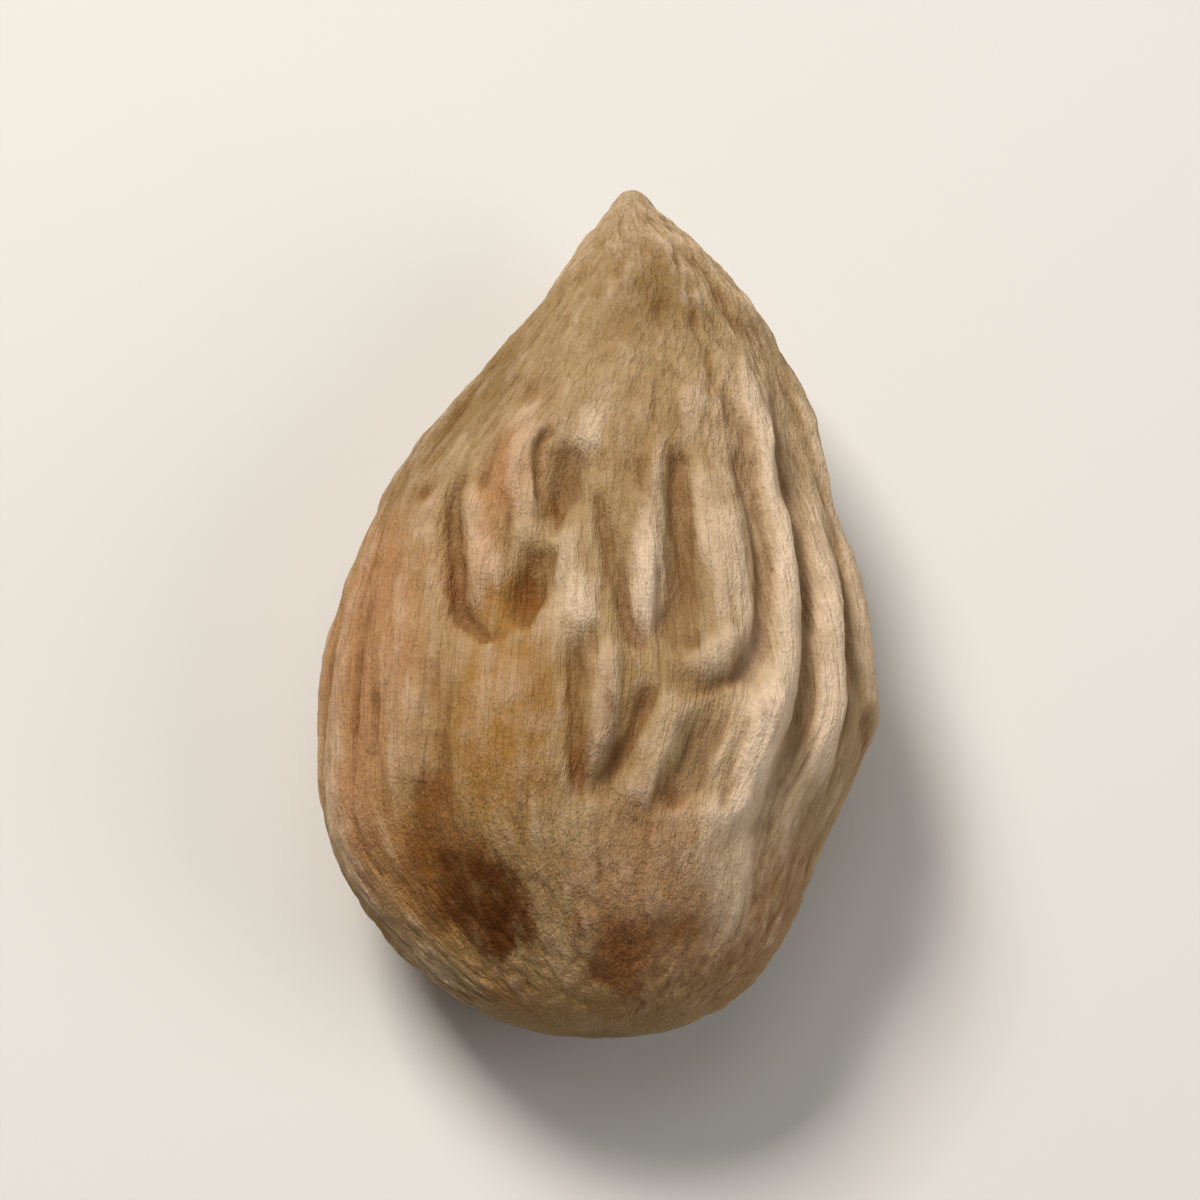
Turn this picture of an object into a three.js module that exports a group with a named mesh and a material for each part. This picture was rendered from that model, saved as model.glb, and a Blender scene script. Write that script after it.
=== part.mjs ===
// One shelled almond kernel in its brown skin, lying on its broad side.
//
// The kernel is a single closed solid. Its outline is a drop, blunt at the base and drawn out to a point.
// It is flattened to a lens. Long wrinkles of skin fan out from the base and close in again at the tip.
// Units are millimetres. +Z is up, +Y runs from base to tip, and +X is the right-hand edge from above.
// The origin lies on the surface that the kernel rests on, under the middle of its outline.
import * as THREE from "three";

// Driving dimensions
const length = 24.0;
const width = 14.6;
const thickness = 8.6;
const restDepth = 0.35; // how much of the underside is worn flat where the kernel lies
const tipLift = 0.35; // how far the rim rises towards the tip

// How far the middle of each section stands off towards the right-hand edge, at shares of the length
const middleLine = [
  { along: 0, offset: 0 },
  { along: 0.2, offset: -0.58 },
  { along: 0.36, offset: -0.07 },
  { along: 0.57, offset: -0.1 },
  { along: 0.86, offset: 1.25 },
  { along: 1, offset: 0.9 },
];

// Where the kernel is fullest, as a share of its length from the base, and the shape of its two ends.
// An end's fullness is (1 - d ** power) ** bluntness, with d from 0 at the fullest place to 1 at that end.
const plan = {
  fullestAt: 0.36,
  base: { power: 1.65, bluntness: 0.42 },
  tip: { power: 1.66, bluntness: 0.86 },
};
const profile = {
  fullestAt: 0.4,
  base: { power: 2.3, bluntness: 0.55 },
  tip: { power: 1.65, bluntness: 0.72 },
};
const faceFlatness = 0.06; // how much fuller than an ellipse the two broad faces are towards their edges

// Mesh: rings of points from base to tip, closest together over the upper face and fewer round each end
const ringCount = 52;
const pointsRound = 112;
const fewestRound = 14;
const closestPoints = 0.06; // a ring whose points would lie closer than this has half as many
const edgeSpread = 0.12; // how much wider apart the points are at the two edges
const lowerSpread = 0.15; // how much wider apart they are on the underside

// Wrinkles of the upper face, from its right-hand edge to its left. Each runs through a few places: a turn in
// degrees round the section, from the right-hand edge over the top, and a share of the length from the base.
const upperWrinkles = [
  // the vein along the edge, with its free lower end
  { places: [[-4, 0.31], [9, 0.37], [12, 0.46], [8, 0.62], [11, 0.86]], height: 0.46, halfWidth: 0.42 },
  { places: [[25, 0.2], [32, 0.31], [29, 0.44], [19, 0.59], [5, 0.82]], height: 0.34, halfWidth: 0.46 },
  // the strongest fold
  { places: [[52, 0.17], [51, 0.32], [43, 0.5], [43, 0.66], [54, 0.82]], height: 0.46, halfWidth: 0.54 },
  // a broad flat fold with a lip at its lower end
  { places: [[68, 0.36], [60, 0.44], [58, 0.56], [61, 0.67], [71, 0.8]], height: 0.36, halfWidth: 0.68 },
  { places: [[59, 0.42], [65, 0.375], [76, 0.37]], height: 0.2, halfWidth: 0.36 },
  { places: [[61, 0.08], [61, 0.24]], height: 0.18, halfWidth: 1.3 },
  { places: [[66, 0.8], [70, 0.87], [72, 0.95]], height: 0.24, halfWidth: 0.5 },
  { places: [[32, 0.8], [40, 0.88], [50, 0.95]], height: 0.2, halfWidth: 0.5 },
  { places: [[78, 0.19], [74, 0.28], [71, 0.35]], height: 0.28, halfWidth: 0.45 },
  { places: [[80, 0.4], [79, 0.48], [76, 0.57], [73, 0.66]], height: 0.34, halfWidth: 0.36 },
  { places: [[77, 0.58], [74, 0.7], [78, 0.82]], height: 0.18, halfWidth: 0.7 },
  { places: [[88, 0.24], [88, 0.32], [88, 0.41]], height: 0.24, halfWidth: 0.42 },
  { places: [[98, 0.56], [97, 0.7], [99, 0.84], [104, 0.96]], height: 0.26, halfWidth: 1.4 },
  { places: [[91, 0.39], [95, 0.46], [99, 0.55]], height: 0.2, halfWidth: 0.42 },
  { places: [[108, 0.12], [108, 0.27], [110, 0.4]], height: 0.18, halfWidth: 1.0 },
  // a crescent beside the upper pit, and the fold below it
  { places: [[104, 0.54], [107, 0.58], [112, 0.65], [119, 0.71]], height: 0.3, halfWidth: 0.5 },
  { places: [[112, 0.44], [117, 0.52], [119, 0.6]], height: 0.2, halfWidth: 0.48 },
  { places: [[130, 0.14], [136, 0.42], [143, 0.74]], height: 0.16, halfWidth: 1.2 },
  { places: [[160, 0.08], [158, 0.45], [157, 0.86]], height: 0.2, halfWidth: 0.55 },
];

// Creases of the upper face, told in the same way: the skin folds in between the wrinkles.
const upperCreases = [
  { places: [[22, 0.29], [26, 0.37], [21, 0.46], [11, 0.66]], height: -0.12, halfWidth: 0.34 },
  { places: [[41, 0.22], [43, 0.32], [37, 0.47], [31, 0.62], [33, 0.78]], height: -0.13, halfWidth: 0.34 },
  { places: [[62, 0.34], [54, 0.4], [48, 0.52], [50, 0.65], [61, 0.75]], height: -0.17, halfWidth: 0.34 },
  { places: [[30, 0.1], [37, 0.17], [45, 0.23]], height: -0.12, halfWidth: 0.5 },
  { places: [[83, 0.74], [82, 0.85], [81, 0.95]], height: -0.1, halfWidth: 0.7 },
  { places: [[36, 0.77], [45, 0.84], [58, 0.92]], height: -0.12, halfWidth: 0.6 },
  { places: [[76, 0.38], [71, 0.45], [70, 0.56], [67, 0.68]], height: -0.15, halfWidth: 0.42 },
  { places: [[80, 0.36], [84, 0.43], [86, 0.49], [90, 0.61]], height: -0.2, halfWidth: 0.36 },
  { places: [[70, 0.2], [66, 0.25], [61, 0.34]], height: -0.17, halfWidth: 0.36 },
  { places: [[87, 0.21], [82, 0.27], [76, 0.37]], height: -0.22, halfWidth: 0.36 },
  { places: [[86, 0.2], [93, 0.27], [94, 0.35], [94, 0.43]], height: -0.17, halfWidth: 0.36 },
  // the upper pit, and the crease that turns round the lower one
  { places: [[95, 0.64], [98, 0.58], [102, 0.5]], height: -0.27, halfWidth: 0.5 },
  { places: [[130, 0.64], [125, 0.53], [121, 0.44], [112, 0.4]], height: -0.24, halfWidth: 0.44 },
  { places: [[102, 0.52], [105, 0.46], [108, 0.4]], height: -0.28, halfWidth: 0.5 },
  { places: [[131, 0.12], [122, 0.23], [125, 0.4]], height: -0.08, halfWidth: 0.4 },
  { places: [[140, 0.2], [141, 0.3], [143, 0.4]], height: -0.09, halfWidth: 0.36 },
];

// Hollows left where the kernel shrank as it dried: turn in degrees, share of the length, radius and depth
const hollows = [
  { turn: 120, along: 0.14, radius: 2.2, depth: 0.26 },
  { turn: 74, along: 0.42, radius: 1.4, depth: 0.14 },
  { turn: 99, along: 0.6, radius: 1.0, depth: 0.14 },
  { turn: 106, along: 0.46, radius: 1.0, depth: 0.16 },
  { turn: 205, along: 0.6, radius: 2.6, depth: 0.2 },
  { turn: 315, along: 0.3, radius: 2.4, depth: 0.22 },
];

// Wrinkles of the underside: evenly spread, with a seeded draw for their bend, ends and height
const lowerWrinkleCount = 11;
const lowerFirstTurn = 190;
const lowerLastTurn = 348;
const lowerHalfWidth = 0.5;
const seed = 4711;

const wrinkleShoulder = 2.6; // how flat a wrinkle's top is: 2 is a plain bell curve
const wrinkleTaper = 0.25; // share of its own line over which a wrinkle rises, and over which it dies away
const endFade = 0.1; // share of the length over which all relief dies away at the base and at the tip

// The kernel rests on a flat spot with three corners, set round its weight so that it doesn't rock.
const restMiddle = { x: -0.05, y: -1.65 };
const restReach = 3.0; // from the middle of the flat spot to each corner
const restCornerTurns = [90, 210, 330]; // degrees seen from above, from +X towards +Y
const restStep = 0.01; // the skin outside the flat spot starts this much higher
const restSlope = 0.035; // and rises at least this much for each millimetre
const restClear = 3.0; // distance round the flat spot's middle with no relief
const restFade = 2.0; // distance from there over which relief comes in
const restStretch = 1.4; // how much further both reach lengthwise

const toRadians = THREE.MathUtils.degToRad;
const smooth = THREE.MathUtils.smoothstep;

// A seeded row of numbers from 0 to 1: each is the last one times 16807, modulo 2 ** 31 - 1.
function seededDraw(start) {
  const modulus = 2147483647;
  let state = start;
  return () => {
    state = (state * 16807) % modulus;
    return state / modulus;
  };
}

function makeLowerWrinkles() {
  const draw = seededDraw(seed);
  const spacing = (lowerLastTurn - lowerFirstTurn) / (lowerWrinkleCount - 1);
  return Array.from({ length: lowerWrinkleCount }, (_, index) => {
    const turn = lowerFirstTurn + spacing * (index + 0.5 * (draw() - 0.5));
    const bend = spacing * 0.4 * (draw() - 0.5);
    const lean = spacing * (draw() - 0.5);
    const start = 0.12 + 0.2 * draw();
    const end = 0.62 + 0.28 * draw();
    const height = 0.2 + 0.18 * draw();
    const places = [[turn, start], [turn + bend, (start + end) / 2], [turn + lean, end]];
    return { places, height, halfWidth: lowerHalfWidth };
  });
}

const wrinkles = [...upperWrinkles, ...upperCreases, ...makeLowerWrinkles()];

// 0 at both ends of the kernel and 1 where it is fullest.
function fullness(along, shape) {
  const towardsBase = along < shape.fullestAt;
  const end = towardsBase ? shape.base : shape.tip;
  const reach = towardsBase ? shape.fullestAt : 1 - shape.fullestAt;
  const distance = Math.abs(along - shape.fullestAt) / reach;
  return Math.max(0, 1 - distance ** end.power) ** end.bluntness;
}

// The middle line's offset: it goes smoothly from each place in its table to the next.
function middleAt(along) {
  return middleLine.slice(1).reduce((offset, place, index) => {
    const last = middleLine[index];
    return offset + (place.offset - last.offset) * smooth(along, last.along, place.along);
  }, middleLine[0].offset);
}

// The smooth kernel without its skin relief: a point of its surface, and how far one radian of turn moves it.
function smoothKernel(along, turn) {
  const halfWidth = (width / 2) * fullness(along, plan);
  const halfThickness = (thickness / 2) * fullness(along, profile);
  const across = Math.cos(turn);
  const up = Math.sin(turn) * (1 + faceFlatness * across ** 2);
  const rim = thickness / 2 - restDepth + tipLift * smooth(along, 0.5, 1);
  return {
    x: middleAt(along) + halfWidth * across,
    y: length * (along - 0.5),
    z: rim + halfThickness * up,
    outwards: new THREE.Vector2(halfThickness * across, halfWidth * up),
    perRadian: Math.hypot(halfWidth * up, halfThickness * across),
  };
}

// The shortest way round from one turn to another.
function turnBetween(from, to) {
  const full = 2 * Math.PI;
  return ((((to - from + Math.PI) % full) + full) % full) - Math.PI;
}

// The place on a wrinkle's line that is nearest to a point of the skin: how far away it is along the skin,
// and how far along the line as a share of it.
function nearestOnLine(places, along, turn, perRadian) {
  let nearest = { distance: Infinity, share: 0 };
  places.slice(1).forEach((end, index) => {
    const start = places[index];
    const startX = turnBetween(turn, toRadians(start[0])) * perRadian;
    const startY = length * (start[1] - along);
    const stepX = toRadians(end[0] - start[0]) * perRadian;
    const stepY = length * (end[1] - start[1]);
    const reached = -(startX * stepX + startY * stepY) / (stepX ** 2 + stepY ** 2);
    const share = THREE.MathUtils.clamp(reached, 0, 1);
    const distance = Math.hypot(startX + share * stepX, startY + share * stepY);
    if (distance < nearest.distance) nearest = { distance, share: (index + share) / (places.length - 1) };
  });
  return nearest;
}

// A wrinkle is a rounded ridge: a flat-topped bell curve across its line, tapering towards the line's ends.
function wrinkleHeight(wrinkle, along, turn, perRadian) {
  const { distance, share } = nearestOnLine(wrinkle.places, along, turn, perRadian);
  const taper = smooth(share, 0, wrinkleTaper) * (1 - smooth(share, 1 - wrinkleTaper, 1));
  return wrinkle.height * taper * Math.exp(-((distance / wrinkle.halfWidth) ** wrinkleShoulder));
}

function hollowDepth(hollow, along, turn, perRadian) {
  const aside = turnBetween(toRadians(hollow.turn), turn) * perRadian;
  const lengthwise = length * (along - hollow.along);
  return hollow.depth * Math.exp(-(aside ** 2 + lengthwise ** 2) / hollow.radius ** 2);
}

// 0 over the resting spot, and 1 away from it and on the whole upper half.
function awayFromRest(skin) {
  if (skin.z > thickness / 2) return 1;
  const distance = Math.hypot(skin.x - restMiddle.x, (skin.y - restMiddle.y) / restStretch);
  return smooth(distance, restClear, restClear + restFade);
}

// The lowest that the skin may lie: 0 on the three-cornered flat spot, and rising outside it.
// Each side of the spot faces away from a corner, half as far from the middle as the corner is.
function lowestSkin(x, y) {
  const sides = restCornerTurns.map((degrees) => {
    const corner = toRadians(degrees);
    return (restMiddle.x - x) * Math.cos(corner) + (restMiddle.y - y) * Math.sin(corner) - restReach / 2;
  });
  const outside = Math.max(...sides);
  return outside > 0 ? restStep + restSlope * outside : 0;
}

// Moves the nearest point of the underside to each corner of the flat spot.
function seatCorners(points) {
  restCornerTurns.forEach((degrees) => {
    const corner = new THREE.Vector3(Math.cos(toRadians(degrees)), Math.sin(toRadians(degrees)), 0);
    corner.multiplyScalar(restReach).add(new THREE.Vector3(restMiddle.x, restMiddle.y, 0));
    const nearest = points.reduce((best, point) =>
      point.distanceTo(corner) < best.distanceTo(corner) ? point : best,
    );
    nearest.copy(corner);
  });
}

// The smooth kernel's skin moved out by its wrinkles and in by its hollows, and cut flat where it rests.
function kernelPoint(along, turn) {
  const skin = smoothKernel(along, turn);
  const heights = wrinkles.map((wrinkle) => wrinkleHeight(wrinkle, along, turn, skin.perRadian));
  const depths = hollows.map((hollow) => hollowDepth(hollow, along, turn, skin.perRadian));
  const raised = heights.reduce((sum, height) => sum + height, 0);
  const sunk = depths.reduce((sum, depth) => sum + depth, 0);
  const atEnds = smooth(along, 0, endFade) * (1 - smooth(along, 1 - endFade, 1));
  const relief = (raised - sunk) * atEnds * awayFromRest(skin);
  const outwards = skin.outwards.normalize();
  const x = skin.x + outwards.x * relief;
  const z = skin.z + outwards.y * relief;
  return new THREE.Vector3(x, skin.y, Math.max(z, lowestSkin(x, skin.y)));
}

// How far along the kernel a ring lies: closest together at the base, where it turns in fastest.
function ringPlace(index) {
  const share = index / ringCount;
  return 1 - (1 - share ** 1.7) ** 1.25;
}

// The turn of a point that is this share of the way round its ring.
function ringTurn(share) {
  const even = 2 * Math.PI * share;
  return even + edgeSpread * Math.sin(2 * even) + lowerSpread * (Math.cos(even) - 1);
}

function makeRings() {
  const rings = [];
  for (let index = 1; index < ringCount; index += 1) {
    const along = ringPlace(index);
    const girth = (Math.PI / 2) * (width + thickness) * fullness(along, plan);
    let count = pointsRound;
    while (count > fewestRound && girth / count < closestPoints) count /= 2;
    rings.push(Array.from({ length: count }, (_, step) => kernelPoint(along, ringTurn(step / count))));
  }
  return rings;
}

// Triangles between two rings that need not have the same number of points: each step goes round the ring
// that is behind. A ring of one point is a pole, which stays where it is.
function stitchRings(near, far, nearStart, farStart, triangles) {
  let i = near > 1 ? 0 : near;
  let j = far > 1 ? 0 : far;
  while (i < near || j < far) {
    const a = nearStart + (i % near);
    const b = farStart + (j % far);
    const nearIsBehind = j === far || (i < near && (i + 1) / near <= (j + 1) / far);
    if (nearIsBehind) {
      i += 1;
      triangles.push(a, b, nearStart + (i % near));
    } else {
      j += 1;
      triangles.push(a, b, farStart + (j % far));
    }
  }
}

function kernelGeometry() {
  const rings = makeRings();
  const points = [kernelPoint(0, 0), ...rings.flat(), kernelPoint(1, 0)];
  seatCorners(points);
  const triangles = [];
  let start = 1;
  rings.forEach((ring, index) => {
    const next = rings[index + 1];
    if (index === 0) stitchRings(1, ring.length, 0, start, triangles);
    if (next) stitchRings(ring.length, next.length, start, start + ring.length, triangles);
    else stitchRings(ring.length, 1, start, points.length - 1, triangles);
    start += ring.length;
  });
  const geometry = new THREE.BufferGeometry().setFromPoints(points);
  geometry.setIndex(triangles);
  geometry.computeVertexNormals();
  return geometry;
}

const skinMaterial = new THREE.MeshStandardMaterial({ color: 0xa8794c, roughness: 0.85, metalness: 0 });
const kernel = new THREE.Mesh(kernelGeometry(), skinMaterial);
kernel.name = "almond_kernel";

const almond = new THREE.Group();
almond.add(kernel);
export default almond;
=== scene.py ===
import math

import bpy
import numpy as np
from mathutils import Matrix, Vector


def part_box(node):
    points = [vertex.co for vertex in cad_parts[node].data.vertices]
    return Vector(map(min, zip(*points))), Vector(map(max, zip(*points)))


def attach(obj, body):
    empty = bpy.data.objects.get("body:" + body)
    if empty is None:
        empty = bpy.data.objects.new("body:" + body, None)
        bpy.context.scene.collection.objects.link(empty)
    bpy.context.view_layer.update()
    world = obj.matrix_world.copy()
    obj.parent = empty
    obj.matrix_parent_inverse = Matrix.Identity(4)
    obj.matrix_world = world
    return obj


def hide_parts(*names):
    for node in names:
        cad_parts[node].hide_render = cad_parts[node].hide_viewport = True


# One shelled almond kernel in its wrinkled brown skin, lying on its broad side on a pale floor.
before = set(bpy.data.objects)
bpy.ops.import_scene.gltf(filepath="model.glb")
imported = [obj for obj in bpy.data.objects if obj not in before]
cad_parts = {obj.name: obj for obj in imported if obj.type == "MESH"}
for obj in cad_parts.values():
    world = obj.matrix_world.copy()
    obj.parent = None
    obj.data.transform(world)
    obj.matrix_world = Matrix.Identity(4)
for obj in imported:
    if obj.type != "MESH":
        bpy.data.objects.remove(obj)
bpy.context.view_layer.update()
lowCorner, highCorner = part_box("almond_kernel")
print("frame loaded")

mm = 0.001

# The kernel's smooth form, in metres. Places along it are shares of its length from the base.
# An end's fullness is (1 - d ** power) ** bluntness, with d from 0 at the fullest place to 1 at that end.
kernelForm = {
    "length": highCorner.y - lowCorner.y,
    "width": 14.6 * mm,
    "thickness": 8.6 * mm,
    "restDepth": 0.35 * mm,  # how much of the underside is worn flat
    # where the middle of the section lies: a share of the length, and mm to the right of the base's middle
    "middleLine": ((0, 0), (0.2, -0.58), (0.36, -0.07), (0.57, -0.1), (0.86, 1.25), (1, 0.9)),
    "tipLift": 0.35 * mm,  # how much higher the tip lies than the base
    "faceFlatness": 0.06,  # how much fuller the section is than an ellipse
    "plan": {"fullestAt": 0.36, "base": (1.65, 0.42), "tip": (1.66, 0.86)},
    "profile": {"fullestAt": 0.4, "base": (2.3, 0.55), "tip": (1.65, 0.72)},
    "tipRadius": (0.46 * mm, 0.38 * mm),  # how round the tip's very end is, across and up
    "rings": 246,
    "ringSpread": (1.7, 1.25),  # powers that draw the rings closer together at the base and at the tip
    "pointsRound": 400,
    "edgeSpread": 0.12,  # the points lie wider apart at the edges
    "lowerSpread": 0.15,  # and on the underside
}

# Wrinkles and creases: the places that each runs through, as a turn in degrees round the section from the
# right-hand edge over the top and a share of the length, then its height and its half width in mm.
wrinkleForm = {
    "upper": [
        # the vein along the edge, with its free lower end
        (((-4, 0.31), (9, 0.37), (12, 0.46), (8, 0.62), (11, 0.86)), 0.46, 0.42),
        (((25, 0.2), (32, 0.31), (29, 0.44), (19, 0.59), (5, 0.82)), 0.34, 0.46),
        # the strongest fold
        (((52, 0.17), (51, 0.32), (43, 0.5), (43, 0.66), (54, 0.82)), 0.46, 0.54),
        # a broad flat fold with a lip at its lower end
        (((68, 0.36), (60, 0.44), (58, 0.56), (61, 0.67), (71, 0.8)), 0.36, 0.68),
        (((59, 0.42), (65, 0.375), (76, 0.37)), 0.2, 0.36),
        (((61, 0.08), (61, 0.24)), 0.18, 1.3),
        (((66, 0.8), (70, 0.87), (72, 0.95)), 0.24, 0.5),
        (((32, 0.8), (40, 0.88), (50, 0.95)), 0.2, 0.5),
        (((78, 0.19), (74, 0.28), (71, 0.35)), 0.28, 0.45),
        (((80, 0.4), (79, 0.48), (76, 0.57), (73, 0.66)), 0.34, 0.36),
        (((77, 0.58), (74, 0.7), (78, 0.82)), 0.18, 0.7),
        (((88, 0.24), (88, 0.32), (88, 0.41)), 0.24, 0.42),
        (((98, 0.56), (97, 0.7), (99, 0.84), (104, 0.96)), 0.26, 1.4),
        (((91, 0.39), (95, 0.46), (99, 0.55)), 0.2, 0.42),
        (((108, 0.12), (108, 0.27), (110, 0.4)), 0.18, 1.0),
        # a crescent beside the upper pit, and the fold below it
        (((104, 0.54), (107, 0.58), (112, 0.65), (119, 0.71)), 0.3, 0.5),
        (((112, 0.44), (117, 0.52), (119, 0.6)), 0.2, 0.48),
        (((130, 0.14), (136, 0.42), (143, 0.74)), 0.16, 1.2),
        (((160, 0.08), (158, 0.45), (157, 0.86)), 0.2, 0.55),
        (((22, 0.29), (26, 0.37), (21, 0.46), (11, 0.66)), -0.12, 0.34),
        (((41, 0.22), (43, 0.32), (37, 0.47), (31, 0.62), (33, 0.78)), -0.13, 0.34),
        (((62, 0.34), (54, 0.4), (48, 0.52), (50, 0.65), (61, 0.75)), -0.17, 0.34),
        (((30, 0.1), (37, 0.17), (45, 0.23)), -0.12, 0.5),
        (((83, 0.74), (82, 0.85), (81, 0.95)), -0.1, 0.7),
        (((36, 0.77), (45, 0.84), (58, 0.92)), -0.12, 0.6),
        (((76, 0.38), (71, 0.45), (70, 0.56), (67, 0.68)), -0.15, 0.42),
        (((80, 0.36), (84, 0.43), (86, 0.49), (90, 0.61)), -0.2, 0.36),
        (((70, 0.2), (66, 0.25), (61, 0.34)), -0.17, 0.36),
        (((87, 0.21), (82, 0.27), (76, 0.37)), -0.22, 0.36),
        (((86, 0.2), (93, 0.27), (94, 0.35), (94, 0.43)), -0.17, 0.36),
        # the upper pit, and the crease that turns round the lower one
        (((95, 0.64), (98, 0.58), (102, 0.5)), -0.27, 0.5),
        (((130, 0.64), (125, 0.53), (121, 0.44), (112, 0.4)), -0.24, 0.44),
        (((102, 0.52), (105, 0.46), (108, 0.4)), -0.28, 0.5),
        (((131, 0.12), (122, 0.23), (125, 0.4)), -0.08, 0.4),
        (((140, 0.2), (141, 0.3), (143, 0.4)), -0.09, 0.36),
    ],
    "fine": [
        # narrow creases and small ridges between the wrinkles
        (((41, 0.26), (43, 0.34), (37, 0.46), (32, 0.6), (32, 0.72)), -0.12, 0.16),
        (((71, 0.335), (62, 0.35), (55, 0.39), (49, 0.5), (49, 0.62)), -0.14, 0.17),
        (((22, 0.3), (26, 0.37), (22, 0.45), (14, 0.58)), -0.1, 0.15),
        (((80, 0.37), (84, 0.43), (86, 0.49), (89, 0.58)), -0.1, 0.15),
        (((78, 0.39), (72, 0.44), (71, 0.53), (69, 0.62)), -0.08, 0.2),
        (((68, 0.22), (65, 0.26), (61, 0.34)), 0.08, 0.24),
        (((86, 0.22), (81, 0.28), (76, 0.36)), -0.12, 0.17),
        (((88, 0.21), (93, 0.27), (94, 0.34), (94, 0.41)), -0.08, 0.16),
        (((129, 0.6), (125, 0.53), (121, 0.44), (114, 0.402), (107, 0.41)), -0.16, 0.17),
        (((104, 0.66), (106, 0.63), (104, 0.58), (102, 0.55)), -0.16, 0.15),
        (((96, 0.61), (98, 0.57), (101, 0.53)), -0.08, 0.25),
        (((83, 0.78), (82, 0.85), (82, 0.92)), -0.05, 0.2),
        (((39, 0.8), (45, 0.845), (55, 0.89)), -0.05, 0.2),
        (((142, 0.26), (142, 0.32), (143, 0.37)), -0.08, 0.2),
        (((123, 0.2), (122, 0.26), (123, 0.36)), -0.06, 0.24),
        (((50, 0.58), (52, 0.68), (60, 0.78)), 0.1, 0.2),
        (((80, 0.4), (79, 0.46), (78, 0.53)), 0.1, 0.26),
        (((51, 0.18), (50, 0.27), (46, 0.37)), 0.1, 0.5),
        (((36, 0.3), (35, 0.42), (27, 0.6)), 0.12, 0.2),
        (((15, 0.36), (18, 0.44), (11, 0.6)), 0.1, 0.18),
        (((66, 0.46), (65, 0.58), (69, 0.7)), 0.1, 0.22),
        (((62, 0.24), (58, 0.3), (56, 0.37)), 0.12, 0.24),
        (((84, 0.6), (85, 0.7), (88, 0.8)), -0.05, 0.2),
        (((114, 0.3), (113, 0.22), (112, 0.14)), -0.05, 0.26),
        (((150, 0.5), (149, 0.36), (146, 0.22)), -0.06, 0.24),
        (((168, 0.3), (170, 0.5), (170, 0.7)), -0.06, 0.3),
        (((176, 0.2), (179, 0.45), (178, 0.75)), 0.12, 0.26),
        (((-8, 0.2), (-6, 0.4), (-4, 0.7)), -0.1, 0.24),
    ],
    # turn in degrees, share of the length, radius and depth in mm
    "hollows": [
        (120, 0.14, 2.2, 0.26),
        (74, 0.42, 1.4, 0.14),
        (99, 0.6, 1.0, 0.14),
        (106, 0.46, 1.0, 0.16),
        (205, 0.6, 2.6, 0.2),
        (315, 0.3, 2.4, 0.22),
    ],
    # the same for small ones, where a negative depth makes a bump
    "pits": [
        (98, 0.57, 0.4, 0.12),
        (105, 0.455, 0.45, 0.16),
        (137, 0.59, 0.28, 0.1),
        (66, 0.385, 0.45, -0.12),
        (104, 0.535, 0.4, -0.1),
        (84, 0.07, 0.5, 0.1),
        (112, 0.09, 0.9, 0.1),
        (58, 0.12, 0.7, 0.08),
    ],
    # seeded wrinkles on the underside: where a draw comes in, the least value and what the draw adds at most
    "lowerCount": 11,
    "lowerTurns": (190, 348),
    "lowerStarts": (0.12, 0.2),
    "lowerEnds": (0.62, 0.28),
    "lowerHeights": (0.2, 0.18),
    "lowerHalfWidth": 0.5,
    "seed": 4711,
    "shoulder": 2.6,  # how flat a wrinkle's top is
    "taper": 0.25,  # share of its own line over which a wrinkle rises and dies away
    "endFade": 0.1,  # share of the length at each end over which relief fades
    "restMiddle": (-0.05, -1.65),  # the three-cornered spot that it rests on, in mm
    "restReach": 3.0,  # from its middle to each corner
    "restCorners": (90, 210, 330),
    "restStep": 0.01,  # how far the skin outside the spot lies above it at least
    "restSlope": 0.035,  # and how much more for each mm away from it
    "restClear": 3.0,  # no relief this far round the middle of the spot
    "restFade": 2.0,  # and over this distance more it comes in
    "restStretch": 1.4,  # both reach farther lengthwise by this factor
}

# Skin relief all over, from seeded noise on a drum round the kernel. Waves are counted from the drum's middle
# outwards and from end to end, and heights are in mm.
skinForm = {
    "drumNarrowing": 0.6,  # the power of the kernel's fullness by which the drum narrows to both ends
    "wander": (0.12, 1.6, 3.4, 10),  # how far folds wander aside in radians, waves outwards, lengthwise, seed
    "ripple": (0.03, 6.0, 11.0, 15),  # the same for the small bends of the main wrinkles
    "unevenness": (0.6, 5.0, 8.0, 16),  # how much the main wrinkles' height varies, waves and seed
    "folds": [
        # waves outwards, waves lengthwise, height, seed
        (4.6, 3.2, 0.09, 11),
        (9.0, 5.0, 0.09, 12),
        (17.0, 8.0, 0.065, 13),
        (30.0, 13.0, 0.035, 14),
    ],
    "creaseSoftness": 0.03,  # how rounded a crease is at its bottom, as a share of the noise
    # smooth places with fewer folds: turn in degrees, share of the length, reach round and reach lengthwise
    "calm": [(97, 0.76, 15, 0.16), (142, 0.34, 18, 0.2), (61, 0.14, 24, 0.08), (110, 0.28, 12, 0.12)],
    "calmShare": 0.65,
    "coarse": (0.9, 0.06, 21),  # lumps: size in mm, height in mm, seed
    "grain": (0.34, 0.028, 22),
}


def smooth(value, low, high):
    # 0 below low, 1 above high, and 3 t ** 2 - 2 t ** 3 in between
    t = np.clip((value - low) / (high - low), 0, 1)
    return t * t * (3 - 2 * t)


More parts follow.
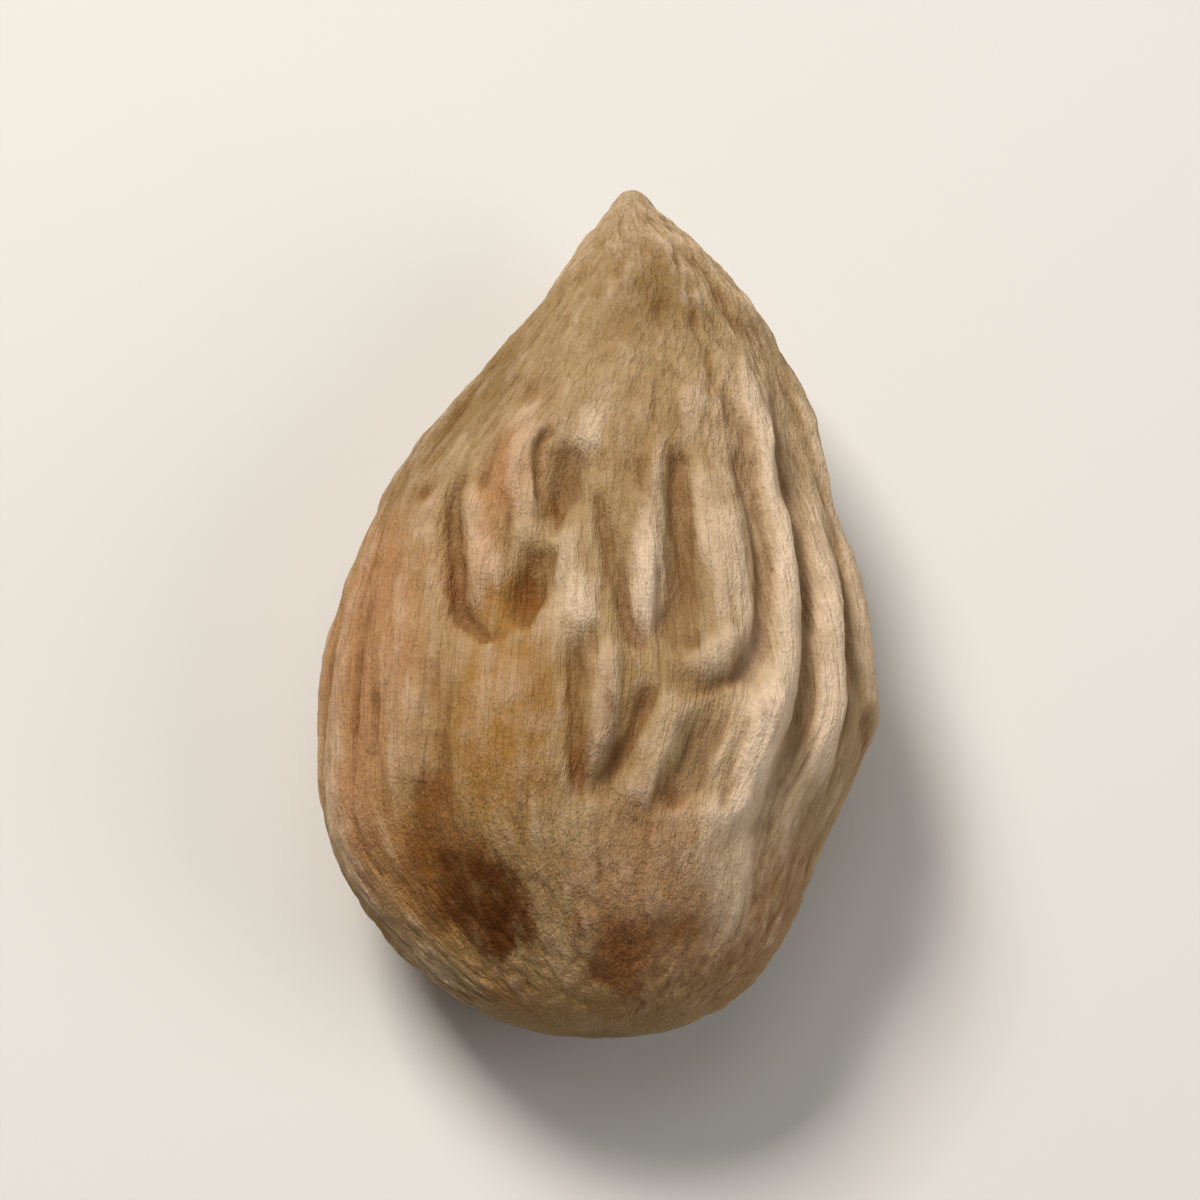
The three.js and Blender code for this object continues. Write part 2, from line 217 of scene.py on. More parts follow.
def gradientNoise(x, y, z, seed):
    # each corner of a unit lattice has a random direction, whose dot product with the way from the corner to
    # the point is blended by the fade 6 t ** 5 - 15 t ** 4 + 10 t ** 3; the result is about -0.7 to 0.7
    draw, count = np.random.default_rng(seed), 256
    directions = draw.normal(size=(count, 3))
    directions /= np.linalg.norm(directions, axis=1, keepdims=True)
    order = draw.permutation(count)
    cell = [np.floor(c).astype(int) for c in (x, y, z)]
    inside = [c - f for c, f in zip((x, y, z), cell)]
    fade = [t ** 3 * (t * (6 * t - 15) + 10) for t in inside]
    total = np.zeros_like(inside[0] + inside[1] + inside[2])
    for corner in np.ndindex(2, 2, 2):
        index = np.zeros_like(total, dtype=int)
        weight = np.ones_like(total)
        for axis, step in enumerate(corner):
            index = order[(index + cell[axis] + step) % count]
            weight = weight * (fade[axis] if step else 1 - fade[axis])
        away = sum(directions[index, axis] * (inside[axis] - corner[axis]) for axis in range(3))
        total += weight * away
    return total


def fullness(along, shape):
    # (1 - distance ** power) ** bluntness, with the distance from 0 at the fullest place to 1 at each end
    towardsBase = along < shape["fullestAt"]
    reach = np.where(towardsBase, shape["fullestAt"], 1 - shape["fullestAt"])
    power = np.where(towardsBase, shape["base"][0], shape["tip"][0])
    bluntness = np.where(towardsBase, shape["base"][1], shape["tip"][1])
    distance = np.abs(along - shape["fullestAt"]) / reach
    return np.maximum(0, 1 - distance ** power) ** bluntness


def roundedTip(half, along, radius):
    # the fourth root of half ** 4 + circle ** 4, with a circle of this radius that starts at the tip
    fromTip = kernelForm["length"] * (1 - along)
    circle = np.sqrt(np.maximum(0, fromTip * (2 * radius - fromTip)))
    return (half ** 4 + circle ** 4) ** 0.25


def smoothKernel(along, turn):
    # a section round each place along the kernel: x = middle + halfWidth * cos(turn) and
    # z = rim + halfThickness * sin(turn) * (1 + faceFlatness * cos(turn) ** 2), with the way outwards and how
    # far one radian reaches there
    form = kernelForm
    halfWidth = roundedTip(form["width"] / 2 * fullness(along, form["plan"]), along, form["tipRadius"][0])
    halfThickness = form["thickness"] / 2 * fullness(along, form["profile"])
    halfThickness = roundedTip(halfThickness, along, form["tipRadius"][1])
    across = np.cos(turn)
    up = np.sin(turn) * (1 + form["faceFlatness"] * across ** 2)
    middle, places = 0, form["middleLine"]
    for (near, nearX), (far, farX) in zip(places, places[1:]):
        middle = middle + (farX - nearX) * mm * smooth(along, near, far)
    rim = form["thickness"] / 2 - form["restDepth"] + form["tipLift"] * smooth(along, 0.5, 1)
    perRadian = np.hypot(halfWidth * up, halfThickness * across)
    steepness = np.maximum(perRadian, 1e-9)
    outX, outZ = halfThickness * across / steepness, halfWidth * up / steepness
    x, z = middle + halfWidth * across, rim + halfThickness * up
    return x, form["length"] * (along - 0.5), z, outX, outZ, perRadian


def turnBetween(start, end):
    # the turn from start to end in radians, from -pi to pi
    return (end - start + np.pi) % (2 * np.pi) - np.pi


def wrinkleHeight(wrinkle, along, turn, perRadian):
    # height * taper * exp(-(distance / halfWidth) ** shoulder), with the distance to a line through its
    # places and a taper that rises and dies away along that line
    places, height, halfWidth = wrinkle
    length, pieces = kernelForm["length"], len(places) - 1
    nearest, share = np.full_like(turn, np.inf), np.zeros_like(turn)
    for index, (start, end) in enumerate(zip(places, places[1:])):
        startX = turnBetween(turn, math.radians(start[0])) * perRadian
        startY = length * (start[1] - along)
        stepX = math.radians(end[0] - start[0]) * perRadian
        stepY = length * (end[1] - start[1])
        reached = np.clip(-(startX * stepX + startY * stepY) / (stepX ** 2 + stepY ** 2), 0, 1)
        distance = np.hypot(startX + reached * stepX, startY + reached * stepY)
        share = np.where(distance < nearest, (index + reached) / pieces, share)
        nearest = np.minimum(nearest, distance)
    reach = wrinkleForm["taper"]
    taper = smooth(share, 0, reach) * (1 - smooth(share, 1 - reach, 1))
    return height * mm * taper * np.exp(-(nearest / (halfWidth * mm)) ** wrinkleForm["shoulder"])


def hollowDepth(hollow, along, turn, perRadian):
    # depth * exp(-(distance / radius) ** 2), with the distance measured along the surface
    turnAt, alongAt, radius, depth = hollow
    aside = turnBetween(np.radians(turnAt), turn) * perRadian
    lengthwise = kernelForm["length"] * (along - alongAt)
    return depth * mm * np.exp(-(aside ** 2 + lengthwise ** 2) / (radius * mm) ** 2)


def lowerWrinkles():
    # evenly spread, with a seeded draw: each number is the last one times 16807, modulo 2 ** 31 - 1
    factor, modulus = 16807, 2147483647
    state = wrinkleForm["seed"]
    first, last = wrinkleForm["lowerTurns"]
    leastStart, moreStart = wrinkleForm["lowerStarts"]
    leastEnd, moreEnd = wrinkleForm["lowerEnds"]
    leastHeight, moreHeight = wrinkleForm["lowerHeights"]
    spacing = (last - first) / (wrinkleForm["lowerCount"] - 1)
    made = []
    for index in range(wrinkleForm["lowerCount"]):
        draws = []
        for _ in range(6):
            state = state * factor % modulus
            draws.append(state / modulus)
        turn = first + spacing * (index + 0.5 * (draws[0] - 0.5))
        bend, lean = spacing * 0.4 * (draws[1] - 0.5), spacing * (draws[2] - 0.5)
        start, end = leastStart + moreStart * draws[3], leastEnd + moreEnd * draws[4]
        places = (turn, start), (turn + bend, (start + end) / 2), (turn + lean, end)
        made.append((places, leastHeight + moreHeight * draws[5], wrinkleForm["lowerHalfWidth"]))
    return made


def awayFromRest(x, y, z):
    # 0 over the resting spot, and 1 away from it and on the whole upper half
    restX, restY = wrinkleForm["restMiddle"]
    distance = np.hypot(x / mm - restX, (y / mm - restY) / wrinkleForm["restStretch"])
    fadeIn = smooth(distance, wrinkleForm["restClear"], wrinkleForm["restClear"] + wrinkleForm["restFade"])
    return np.where(z > kernelForm["thickness"] / 2, 1, fadeIn)


def lowestSkin(x, y):
    # 0 on the three-cornered resting spot, and outside it a small step and then a rise with the distance;
    # each side of the spot faces away from a corner, half as far from the middle as the corner is
    restX, restY = wrinkleForm["restMiddle"]
    corners = np.radians(wrinkleForm["restCorners"])
    sides = [(restX - x / mm) * np.cos(c) + (restY - y / mm) * np.sin(c) for c in corners]
    outside = np.max(sides, axis=0) - wrinkleForm["restReach"] / 2
    return np.where(outside > 0, wrinkleForm["restStep"] + wrinkleForm["restSlope"] * outside, 0) * mm


def blob(along, turn, turnAt, alongAt, reachRound, reachAlong):
    # a bell curve round one place: 1 there, and 1 / e at its reach
    aside = np.degrees(turnBetween(np.radians(turnAt), turn)) / reachRound
    return np.exp(-aside ** 2 - ((along - alongAt) / reachAlong) ** 2)


def drumPlace(along, turn):
    # a drum of radius fullness ** narrowing and length 1, which closes at both ends
    radius = fullness(along, kernelForm["plan"]) ** skinForm["drumNarrowing"]
    return np.cos(turn) * radius, np.sin(turn) * radius, along


def drumNoise(along, turn, outwards, lengthwise, seed):
    # noise on the drum, with this many waves outwards from its middle and lengthwise
    x, y, z = drumPlace(along, turn)
    return gradientNoise(x * outwards, y * outwards, z * lengthwise, seed)


def skinFolds(along, turn):
    # lengthwise folds: height * (2 (noise ** 2 + softness ** 2) ** 0.5 - 0.5), which is rounded on top and
    # has narrow creases
    farAside, *waves = skinForm["wander"]
    wander = turn + farAside * drumNoise(along, turn, *waves)
    calm = sum(blob(along, turn, *place) for place in skinForm["calm"])
    busy = 1 - skinForm["calmShare"] * np.clip(calm, 0, 1)
    total = 0
    for outwards, lengthwise, height, seed in skinForm["folds"]:
        noise = drumNoise(along, wander, outwards, lengthwise, seed)
        total = total + height * mm * (2 * np.hypot(noise, skinForm["creaseSoftness"]) - 0.5) * busy
    return total


def softened(field, cells):
    # a blur over this many cells each way: bell-shaped weights, round the ring and then lengthwise
    reach = 2 * cells
    weights = np.exp(-(np.arange(-reach, reach + 1) / cells) ** 2)
    weights /= weights.sum()
    blurred = sum(w * np.roll(field, step, axis=1) for w, step in zip(weights, range(-reach, reach + 1)))
    padded = np.pad(blurred, ((reach, reach), (0, 0)), mode="edge")
    return sum(w * padded[step:step + len(field)] for w, step in zip(weights, range(2 * reach + 1)))


def kernelPoints():
    # rings of points from base to tip: the smooth kernel, moved out by its main relief in the plane of each
    # ring, then along its normal by the finer skin relief, and cut flat where it rests
    share = np.linspace(0, 1, kernelForm["rings"] + 1)[:, None]
    basePower, tipPower = kernelForm["ringSpread"]
    along = 1 - (1 - share ** basePower) ** tipPower
    pointsRound = kernelForm["pointsRound"]
    even = 2 * np.pi * np.arange(pointsRound)[None, :] / pointsRound - np.pi / 2
    turn = even + kernelForm["edgeSpread"] * np.sin(2 * even) + kernelForm["lowerSpread"] * np.cos(even)
    along, turn = along + 0 * turn, turn + 0 * along
    x, y, z, outX, outZ, perRadian = smoothKernel(along, turn)
    wrinkles = wrinkleForm["upper"] + lowerWrinkles()
    farAside, *waves = skinForm["ripple"]
    rippled = turn + farAside * drumNoise(along, turn, *waves)
    variation, *waves = skinForm["unevenness"]
    uneven = 1 + variation * drumNoise(along, turn, *waves)
    main = uneven * sum(wrinkleHeight(w, along, rippled, perRadian) for w in wrinkles)
    main = main - sum(hollowDepth(h, along, turn, perRadian) for h in wrinkleForm["hollows"])
    fine = skinFolds(along, turn)
    fine = fine + sum(wrinkleHeight(w, along, rippled, perRadian) for w in wrinkleForm["fine"])
    fine = fine - sum(hollowDepth(h, along, turn, perRadian) for h in wrinkleForm["pits"])
    endFade = wrinkleForm["endFade"]
    apart = awayFromRest(x, y, z)
    main = main * smooth(along, 0, endFade) * (1 - smooth(along, 1 - endFade, 1)) * apart
    fine = fine * smooth(along, 0, endFade / 2) * (1 - smooth(along, 1 - endFade / 2, 1)) * apart
    for size, height, seed in (skinForm["coarse"], skinForm["grain"]):
        fine = fine + height * mm * gradientNoise(x / size / mm, y / size / mm, z / size / mm, seed) * apart
    points = np.stack([x + outX * main, y, z + outZ * main], axis=-1)
    lengthwise = np.gradient(points, axis=0)
    around = np.roll(points, -1, axis=1) - np.roll(points, 1, axis=1)
    normal = np.cross(lengthwise, around)
    normal /= np.maximum(np.linalg.norm(normal, axis=-1, keepdims=True), 1e-15)
    fine[[0, -1]] = 0
    points = points + normal * fine[..., None]
    points[..., 2] = np.maximum(lowestSkin(points[..., 0], points[..., 1]), points[..., 2])
    return points, along, turn, main + fine


# Where the skin's colours lie, with painted warm bounce light in part of the blush, painted highlight in much
# of the
# pale and painted shade in the olive: turn in degrees, share of the length, reach round in degrees, reach
# lengthwise and strength, where a negative one takes colour away
skinPatches = {
    "stain": [
        (121, 0.155, 9, 0.024, 0.6),
        (120, 0.12, 15, 0.033, 1.05),
        (120, 0.08, 14, 0.02, 0.9),
        (97, 0.11, 6, 0.05, -0.7),
        (83, 0.06, 7, 0.02, 0.5),
        (252, 0.22, 16, 0.05, 0.9),
    ],
    "halo": [
        (126, 0.17, 12, 0.045, 1.2),
        (124, 0.23, 7, 0.04, 0.7),
        (122, 0.11, 20, 0.05, 0.8),
        (82, 0.055, 12, 0.045, 1.1),
        (58, 0.085, 14, 0.03, 0.6),
        (160, 0.16, 6, 0.1, 0.4),
        (150, 0.33, 3, 0.07, 0.6),
        (105, 0.455, 5, 0.035, 0.55),
        (100, 0.555, 3, 0.03, 0.5),
        (124, 0.49, 3, 0.06, 0.5),
        (91, 0.26, 4, 0.06, 0.6),
        (254, 0.22, 26, 0.1, 0.8),
    ],
    "golden": [
        (110, 0.3, 15, 0.13, 1),
        (140, 0.15, 14, 0.1, 0.9),
        (110, 0.02, 90, 0.03, 0.35),
        (108, 0.45, 9, 0.05, 0.6),
        (240, 0.4, 50, 0.2, 0.6),
    ],
    # blush: the skin's own orange-pink tone, partly painted warm bounce light on the left flank
    "blushAndPaintedBounceLight": [
        (150, 0.42, 24, 0.18, 1.0),
        (152, 0.2, 14, 0.08, 0.6),
        (113, 0.6, 9, 0.07, 0.8),
        (117, 0.49, 6, 0.06, 0.7),
        (196, 0.5, 22, 0.3, 0.6),
        (320, 0.4, 30, 0.2, 0.5),
    ],
    # pale: some lighter, dusty skin, and painted highlight on the lower ends of the right-hand folds, the tip
    # and the rims near the tip and along the lower left
    "paleSkinAndPaintedHighlight": [
        (36, 0.55, 26, 0.28, 1),
        (47, 0.28, 13, 0.13, 1.4),
        (46, 0.13, 7, 0.05, 0.9),
        (79, 0.46, 5, 0.05, 0.9),
        (96, 0.43, 5, 0.05, 1.0),
        (94, 0.65, 5, 0.05, 0.8),
        (90, 1.0, 400, 0.08, 1),
        (0, 0.9, 24, 0.08, 0.8),
        (180, 0.9, 24, 0.08, 0.8),
        (166, 0.24, 9, 0.14, 0.7),
        (166, 0.07, 12, 0.03, 0.6),
    ],
    # olive: painted shade, a darker olive-brown at the upper left and on a few smaller spots
    "olivePaintedShade": [
        (154, 0.7, 22, 0.12, 1.1),
        (72, 0.47, 8, 0.1, 0.6),
        (84, 0.84, 24, 0.09, 0.7),
        (98, 0.6, 5, 0.06, 0.4),
    ],
    "rosy": [(60, 0.12, 34, 0.075, 1), (20, 0.12, 30, 0.1, 0.7), (72, 0.22, 14, 0.05, 0.5)],
    "chalk": [
        (51, 0.3, 7, 0.07, 1.0),
        (47, 0.21, 6, 0.06, 0.6),
        (79, 0.47, 4, 0.07, 0.9),
        (58, 0.42, 5, 0.04, 0.6),
        (44, 0.14, 6, 0.05, 0.5),
    ],
}


# What counts as a crest and as a fold: the cells that the relief is softened over, and the mm above that
reliefMasks = {"crest": (4, 0.05), "fold": (13, 0.18)}


def paintMasks(along, turn, relief):
    # what the skin's colours follow: crest and fold from -1 to 1, the others from 0 to 1
    masks = {}
    for name, (cells, height) in reliefMasks.items():
        masks[name] = np.clip((relief - softened(relief, cells)) / (height * mm), -1, 1)
    for name, patches in skinPatches.items():
        total = sum(strength * blob(along, turn, *place) for *place, strength in patches)
        masks[name] = np.clip(total, 0, 1)
    return masks


def closedTube(grid):
    # vertices, faces and the corners' places on a flat map, for rings that close to one point at each end
    rings, pointsRound = grid.shape[0] - 2, grid.shape[1]
    vertices = np.concatenate([grid[:1, 0], grid[1:-1].reshape(-1, 3), grid[-1:, 0]])
    ring = np.arange(rings)[:, None] * pointsRound + 1
    step = np.arange(pointsRound)[None, :]
    nextStep = (step + 1) % pointsRound
    near, far = ring[:-1], ring[1:]
    quads = np.stack([near + step, far + step, far + nextStep, near + nextStep], axis=-1).reshape(-1, 4)
    last = len(vertices) - 1
    step, nextStep = step[0], nextStep[0]
    baseFan = np.stack([np.zeros_like(step), 1 + step, 1 + nextStep], axis=-1)
    tipFan = np.stack([ring[-1] + step, np.full_like(step, last), ring[-1] + nextStep], axis=-1)
    left, right = step / pointsRound, (step + 1) / pointsRound
    height = np.arange(rings + 2) / (rings + 1)
    low, high = height[1:-2, None] + 0 * left, height[2:-1, None] + 0 * left
    leftGrid, rightGrid = left + 0 * low, right + 0 * low
    quadCorners = [leftGrid, low, leftGrid, high, rightGrid, high, rightGrid, low]
    quadMap = np.stack(quadCorners, axis=-1).reshape(-1, 2)
    middle, base, tip = (left + right) / 2, 0 * left + height[1], 0 * left + height[-2]
    baseMap = np.stack([middle, 0 * left, left, base, right, base], axis=-1).reshape(-1, 2)
    tipMap = np.stack([left, tip, middle, 1 + 0 * left, right, tip], axis=-1).reshape(-1, 2)
    faces = quads.tolist() + baseFan.tolist() + tipFan.tolist()
    return vertices, faces, np.concatenate([quadMap, baseMap, tipMap])


def makeKernel():
    # the mesh, with its flat map, its colour masks and its places on the drum as attributes
    grid, along, turn, relief = kernelPoints()
    vertices, faces, flatMap = closedTube(grid)
    mesh = bpy.data.meshes.new("kernel_skin")
    mesh.from_pydata(vertices.tolist(), [], faces)
    mesh.polygons.foreach_set("use_smooth", np.ones(len(faces), bool))
    mesh.uv_layers.new(name="OFBake").data.foreach_set("uv", flatMap.ravel())
    for name, mask in paintMasks(along, turn, relief).items():
        values = np.concatenate([mask[:1, 0], mask[1:-1].ravel(), mask[-1:, 0]])
        mesh.attributes.new(name, "FLOAT", "POINT").data.foreach_set("value", values.astype(np.float32))
    drum = np.stack(drumPlace(along, turn), axis=-1)
    drum = np.concatenate([[[0, 0, 0]], drum[1:-1].reshape(-1, 3), [[0, 0, 1]]])
    drumPlaces = mesh.attributes.new("drum", "FLOAT_VECTOR", "POINT")
    drumPlaces.data.foreach_set("vector", drum.astype(np.float32).ravel())
    mesh.update()
    kernel = bpy.data.objects.new("kernel_skin", mesh)
    bpy.context.scene.collection.objects.link(kernel)
    print("kernel made:", len(vertices), "points")
    return kernel


class Wire:
    # a socket's number, which Python's operators turn into Math nodes
    def __init__(self, graph, socket):
        self.graph, self.socket = graph, socket

    def maths(self, operation, first, second):
        node = self.graph.node("ShaderNodeMath", {"operation": operation}, {0: first, 1: second})
        return Wire(self.graph, node.outputs[0])

    def __add__(self, other):
        return self.maths("ADD", self, other)

    def __sub__(self, other):
        return self.maths("SUBTRACT", self, other)

    def __rsub__(self, other):
        return self.maths("SUBTRACT", other, self)

    def __mul__(self, other):
        return self.maths("MULTIPLY", self, other)

    __radd__, __rmul__ = __add__, __mul__

    def between(self, low, high):
        # 0 below low, 1 above high and smooth in between
        node = self.graph.node("ShaderNodeMapRange", {"interpolation_type": "SMOOTHSTEP"},
                               {"Value": self, "From Min": low, "From Max": high})
        return Wire(self.graph, node.outputs["Result"])


class Graph:
    # a material's nodes, with one method that makes any node and a few for what is made often
    def __init__(self, material):
        material.use_nodes = True
        self.tree = material.node_tree
        self.tree.nodes.clear()

    def node(self, kind, settings, sockets):
        # one node: its settings first, then the values or links of its sockets, by name or number
        made = self.tree.nodes.new(kind)
        for name, value in settings.items():
            setattr(made, name, value)
        for name, value in sockets.items():
            if isinstance(value, Wire):
                self.tree.links.new(value.socket, made.inputs[name])
            else:
                made.inputs[name].default_value = value
        return made

    def mask(self, name):
        node = self.node("ShaderNodeAttribute", {"attribute_name": name}, {})
        return Wire(self, node.outputs["Fac"])

    def noise(self, place, waves, detail, shift):
        # noise from 0 to 1, with this many waves for each unit of the place's X, Y and Z
        sockets = {"Vector": place, "Scale": waves, "Location": (shift, 0, 0)}
        spread = self.node("ShaderNodeMapping", {}, sockets)
        sockets = {"Vector": Wire(self, spread.outputs[0]), "Scale": 1.0, "Detail": detail, "Roughness": 0.6}
        node = self.node("ShaderNodeTexNoise", {}, sockets)
        return Wire(self, node.outputs["Fac"])

    def mix(self, share, under, over):
        # under * (1 - share) + over * share
        node = self.node("ShaderNodeMix", {"data_type": "RGBA"}, {0: share, 6: under, 7: over})
        return Wire(self, node.outputs[2])


def screenColour(red, green, blue):
    # a colour given as a screen shows it, from 0 to 255, in the linear numbers that shaders use
    linear = [((c / 255 + 0.055) / 1.055) ** 2.4 for c in (red, green, blue)]
    return (*linear, 1.0)


skinFinish = {
    "tan": screenColour(172, 142, 99),
    "umber": screenColour(150, 110, 60),
    "golden": screenColour(160, 113, 48),
    # blush: orange-pink skin, partly painted warm bounce light
    "blushAndPaintedBounceLight": screenColour(185, 131, 85),
    "rosy": screenColour(168, 126, 86),
    # olive: the colour of the painted shade
    "olivePaintedShade": screenColour(140, 110, 66),
    # pale: lighter skin, and the colour of the painted highlights
    "paleSkinAndPaintedHighlight": screenColour(208, 179, 142),
    "dust": screenColour(234, 206, 176),
    # groove: dark brown for fibres, fine lines and flecks, and painted shade in the creases and folds
    "darkBrownAndCreaseShade": screenColour(116, 74, 30),
    "halo": screenColour(122, 70, 18),
    "stain": screenColour(86, 45, 0),
    "roughness": 0.6,
    "bumpHeight": 0.15 * mm,
    "bumpStrength": 0.9,
    "specular": 0.14,
}

# The patterns in the skin: waves for each metre, or for each unit of the drum, the detail of the noise, and a
# shift so that no two patterns agree.
solidPatterns = {
    "patches": ((430, 260, 430), 3.0, 3.1),
    "mottle": ((1300, 800, 1300), 5.0, 33.3),
    "flecks": ((5200, 3000, 5200), 3.0, 12.4),
    "grain": ((13000, 9000, 13000), 3.0, 21.9),
}
drumPatterns = {
    "streaks": ((12, 12, 6), 4.0, 7.7),
    "fibres": ((42, 42, 12), 3.0, 5.2),
    "wave": ((24, 24, 4), 3.0, 9.4),
}
lineWidth = 0.0006  # the square of how far the wave may be from its middle value on a line

# How much of what lies under it each layer of colour covers at most
layerShare = {
    "patches": 0.4,
    "golden": 0.9,
    "blushAndPaintedBounceLight": 0.8,
    "rosy": 0.85,
    "olivePaintedShade": 0.9,
    "paleSkinAndPaintedHighlight": 0.75,
    "streaks": 0.35,
    "fibres": 0.25,
    # creases and folds: browner skin there, partly painted shade
    "creaseBrownAndShade": 0.75,
    "folds": 0.5,
    "lines": 0.5,
    "chalk": 0.55,
    "halo": 0.75,
    "flecks": 0.2,
    "grain": 0.14,
}


def almondSkin():
    # layers of colour over tan: broad patches (painted bounce light, painted highlight and painted shade
    # among them), streaks, creases and folds darkened with browner skin and painted shade, fine lines, dust
    # on the crests, stains;
    # most cover (a mask and noise, from 0 to 1 between two values) * the layer's share
    finish, share = skinFinish, layerShare
    material = bpy.data.materials.new("almondSkin")
    graph = Graph(material)
    place = Wire(graph, graph.node("ShaderNodeTexCoord", {}, {}).outputs["Object"])
    drum = Wire(graph, graph.node("ShaderNodeAttribute", {"attribute_name": "drum"}, {}).outputs["Vector"])
    crest, fold = graph.mask("crest"), graph.mask("fold")
    patches, mottle, flecks, grain = (graph.noise(place, *pattern) for pattern in solidPatterns.values())
    streaks, fibres, wave = (graph.noise(drum, *pattern) for pattern in drumPatterns.values())
    fromMiddle = wave - 0.5
    lines = 1 - (fromMiddle * fromMiddle).between(0.0, lineWidth)

    colour = graph.mix(patches.between(0.42, 0.66) * share["patches"], finish["tan"], finish["umber"])
    # golden and rosy are the skin's own tones; blush is partly painted warm bounce light, olive is painted
    # shade and pale is partly painted highlight
    for name in ("golden", "blushAndPaintedBounceLight", "rosy", "olivePaintedShade", "paleSkinAndPaintedHighlight"):
        broken = (graph.mask(name) * 1.3 + (patches - 0.5) * 0.8 + (mottle - 0.5) * 0.4).between(0.05, 1.15)
        colour = graph.mix(broken * share[name], colour, finish[name])
    colour = graph.mix(streaks.between(0.5, 0.72) * share["streaks"], colour, finish["umber"])
    colour = graph.mix(fibres.between(0.52, 0.75) * share["fibres"], colour, finish["darkBrownAndCreaseShade"])
    # creases and folds darken towards brown: partly the skin's browner colour there, partly painted shade,
    # broken up by noise
    creaseBreakup = mottle * 1.2 + (fibres - 0.5) * 0.8
    colour = graph.mix((0 - crest).between(0.1, 1.2) * creaseBreakup * share["creaseBrownAndShade"], colour, finish["darkBrownAndCreaseShade"])
    colour = graph.mix((0 - fold).between(0.2, 1.2) * creaseBreakup * share["folds"], colour, finish["darkBrownAndCreaseShade"])
    colour = graph.mix(lines * (mottle - 0.25) * share["lines"], colour, finish["darkBrownAndCreaseShade"])
    # dust on the crests, more of it where the pale patches of painted highlight lie
    ridgeDust = (crest * 0.3 + fold * 0.45 + mottle * 1.7 + fibres * 0.5).between(0.95, 2.1)
    colour = graph.mix(ridgeDust * (graph.mask("paleSkinAndPaintedHighlight") * 0.5 + 0.4), colour, finish["dust"])
    chalky = (graph.mask("chalk") * 1.2 + (mottle - 0.5) * 1.2 + (fibres - 0.5) * 0.8).between(0.15, 1.25)
    colour = graph.mix(chalky * share["chalk"], colour, finish["dust"])
    ragged = (mottle - 0.5) * 1.5 + (streaks - 0.5) * 1.0 + (patches - 0.5) * 0.8
    browned = (graph.mask("halo") * 1.2 + ragged).between(0.2, 1.1)
    colour = graph.mix(browned * share["halo"], colour, finish["halo"])
    colour = graph.mix(flecks.between(0.56, 0.75) * share["flecks"], colour, finish["darkBrownAndCreaseShade"])
    colour = graph.mix(grain.between(0.5, 0.8) * share["grain"], colour, finish["dust"])
    stained = (graph.mask("stain") * 1.05 + ragged + (flecks - 0.5) * 0.5).between(0.1, 1.15)
    colour = graph.mix(stained * (mottle * 0.6 + 0.68), colour, finish["stain"])

    height = fibres * 0.8 + flecks * 0.5 + grain * 0.45 + streaks * 0.5 - lines * 0.12
    bump = graph.node("ShaderNodeBump", {}, {
        "Strength": finish["bumpStrength"],
        "Distance": finish["bumpHeight"],
        "Height": height,
    })
    shader = graph.node("ShaderNodeBsdfPrincipled", {}, {
        "Base Color": colour,
        "Roughness": ridgeDust * 0.18 + grain * 0.14 + finish["roughness"],
        "Normal": Wire(graph, bump.outputs[0]),
        "Specular IOR Level": finish["specular"],
    })
    graph.node("ShaderNodeOutputMaterial", {}, {"Surface": Wire(graph, shader.outputs[0])})
    return material


floorFinish = {"reach": 1.2, "colour": screenColour(226, 222, 215), "roughness": 0.75}


def makeFloor():
    # one wide square at the height that the kernel rests on
    reach = floorFinish["reach"]
    mesh = bpy.data.meshes.new("floor")
    corners = [(-reach, -reach, 0), (reach, -reach, 0), (reach, reach, 0), (-reach, reach, 0)]
    mesh.from_pydata(corners, [], [(0, 1, 2, 3)])
    floor = bpy.data.objects.new("floor", mesh)
    bpy.context.scene.collection.objects.link(floor)
    material = bpy.data.materials.new("paleFloor")
    graph = Graph(material)
    shader = graph.node("ShaderNodeBsdfPrincipled", {},
                        {"Base Color": floorFinish["colour"], "Roughness": floorFinish["roughness"]})
    graph.node("ShaderNodeOutputMaterial", {}, {"Surface": Wire(graph, shader.outputs[0])})
    mesh.materials.append(material)


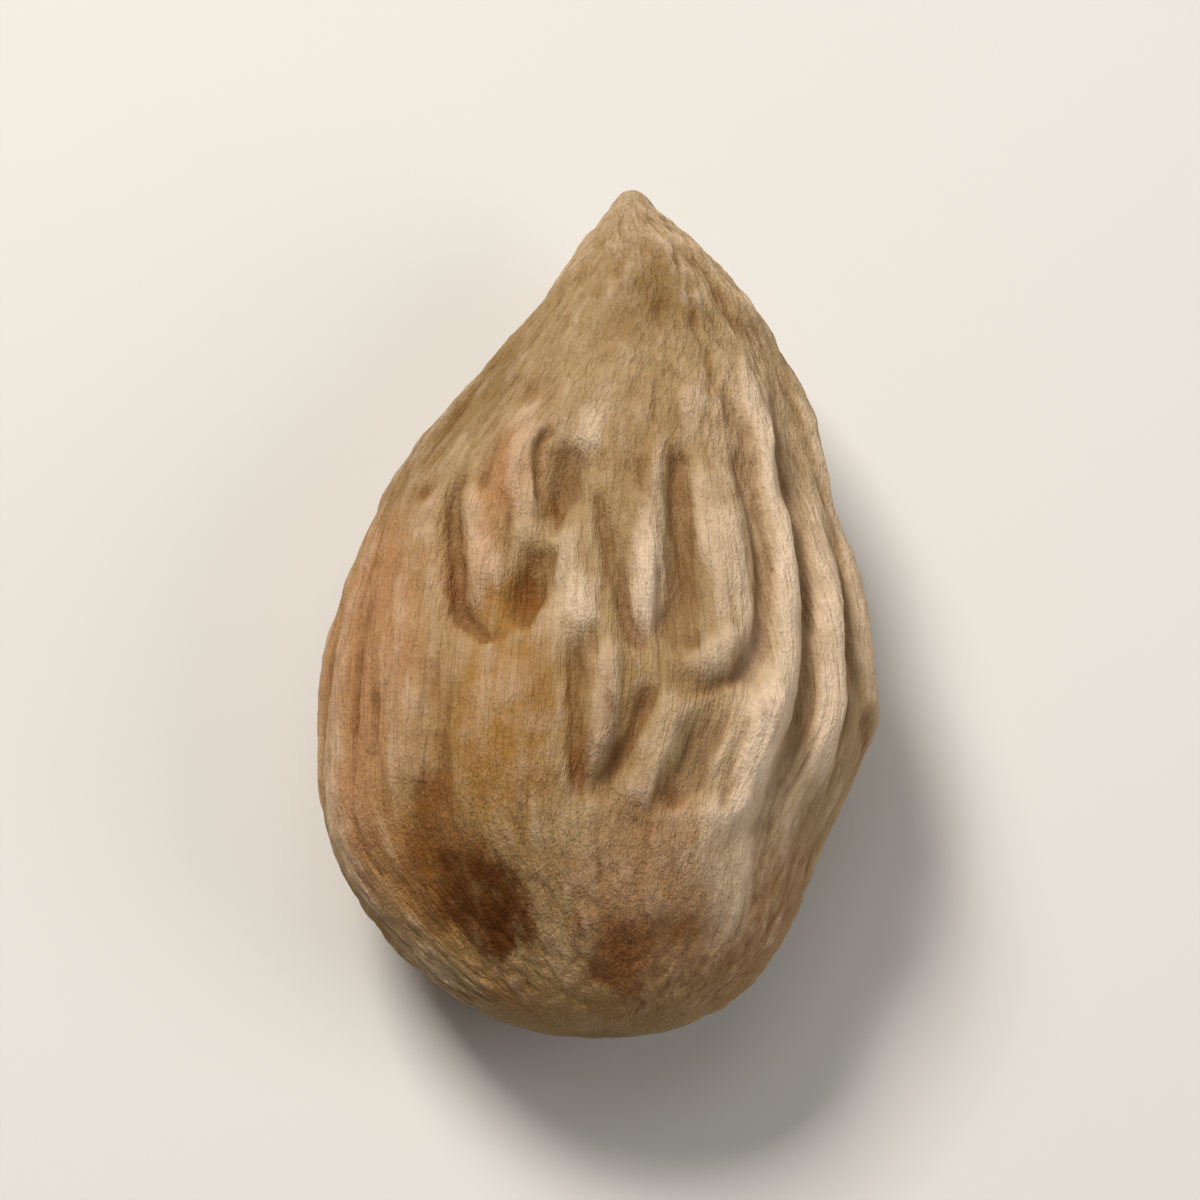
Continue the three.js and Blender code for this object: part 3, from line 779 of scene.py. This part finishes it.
# Lights: bearing in degrees from the right-hand side towards the tip, height above the floor in degrees,
# distance and size in metres, power in watts and colour
lightRig = {
    "keyLight": (124, 48, 0.32, 0.12, 1.05, (1.0, 0.97, 0.92)),
    "sideLight": (-15, 36, 0.34, 0.2, 0.32, (0.97, 0.98, 1.0)),
    "topLight": (75, 75, 0.4, 0.25, 0.2, (1.0, 0.98, 0.95)),
}
worldLight = {"colour": (0.95, 0.96, 1.0, 1.0), "strength": 0.1}


def direction(bearing, height):
    # (cos b cos h, sin b cos h, sin h), a way of length 1 at this bearing and height in degrees
    b, h = math.radians(bearing), math.radians(height)
    return Vector((math.cos(b) * math.cos(h), math.sin(b) * math.cos(h), math.sin(h)))


def makeLights(centre):
    # square lamps that face the kernel, and a faint even light from all round
    for name, (bearing, height, distance, size, power, colour) in lightRig.items():
        lamp = bpy.data.lights.new(name, "AREA")
        lamp.size, lamp.energy, lamp.color = size, power, colour
        light = bpy.data.objects.new(name, lamp)
        light.location = centre + direction(bearing, height) * distance
        light.rotation_euler = (centre - light.location).to_track_quat("-Z", "Y").to_euler()
        bpy.context.scene.collection.objects.link(light)
    world = bpy.data.worlds.new("softRoom")
    world.use_nodes = True
    background = world.node_tree.nodes["Background"]
    background.inputs["Color"].default_value = worldLight["colour"]
    background.inputs["Strength"].default_value = worldLight["strength"]
    bpy.context.scene.world = world
    bpy.context.scene.view_settings.view_transform = "Standard"


# Height above the floor in degrees, lens in mm, and the share of the picture's height that the kernel fills
cameraView = {"height": 70, "lens": 150, "filled": 0.7}


def makeCamera(centre):
    # it looks down on the kernel with the tip at the top, from as far as tall / filled * lens / sensor width
    lens = bpy.data.cameras.new("camera")
    lens.lens = cameraView["lens"]
    lens.clip_start, lens.clip_end = 0.001, 10
    tall = kernelForm["length"] * math.sin(math.radians(cameraView["height"]))
    distance = tall / cameraView["filled"] * lens.lens / lens.sensor_width
    camera = bpy.data.objects.new("camera", lens)
    camera.location = centre + direction(-90, cameraView["height"]) * distance
    camera.rotation_euler = (centre - camera.location).to_track_quat("-Z", "Y").to_euler()
    bpy.context.scene.collection.objects.link(camera)
    bpy.context.scene.camera = camera


centre = (lowCorner + highCorner) / 2
makeCamera(centre)
makeLights(centre)
makeFloor()
print("camera, lights and floor placed")

kernel = makeKernel()
kernel.data.materials.append(almondSkin())
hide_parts("almond_kernel")
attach(kernel, "root")
print("kernel dressed")
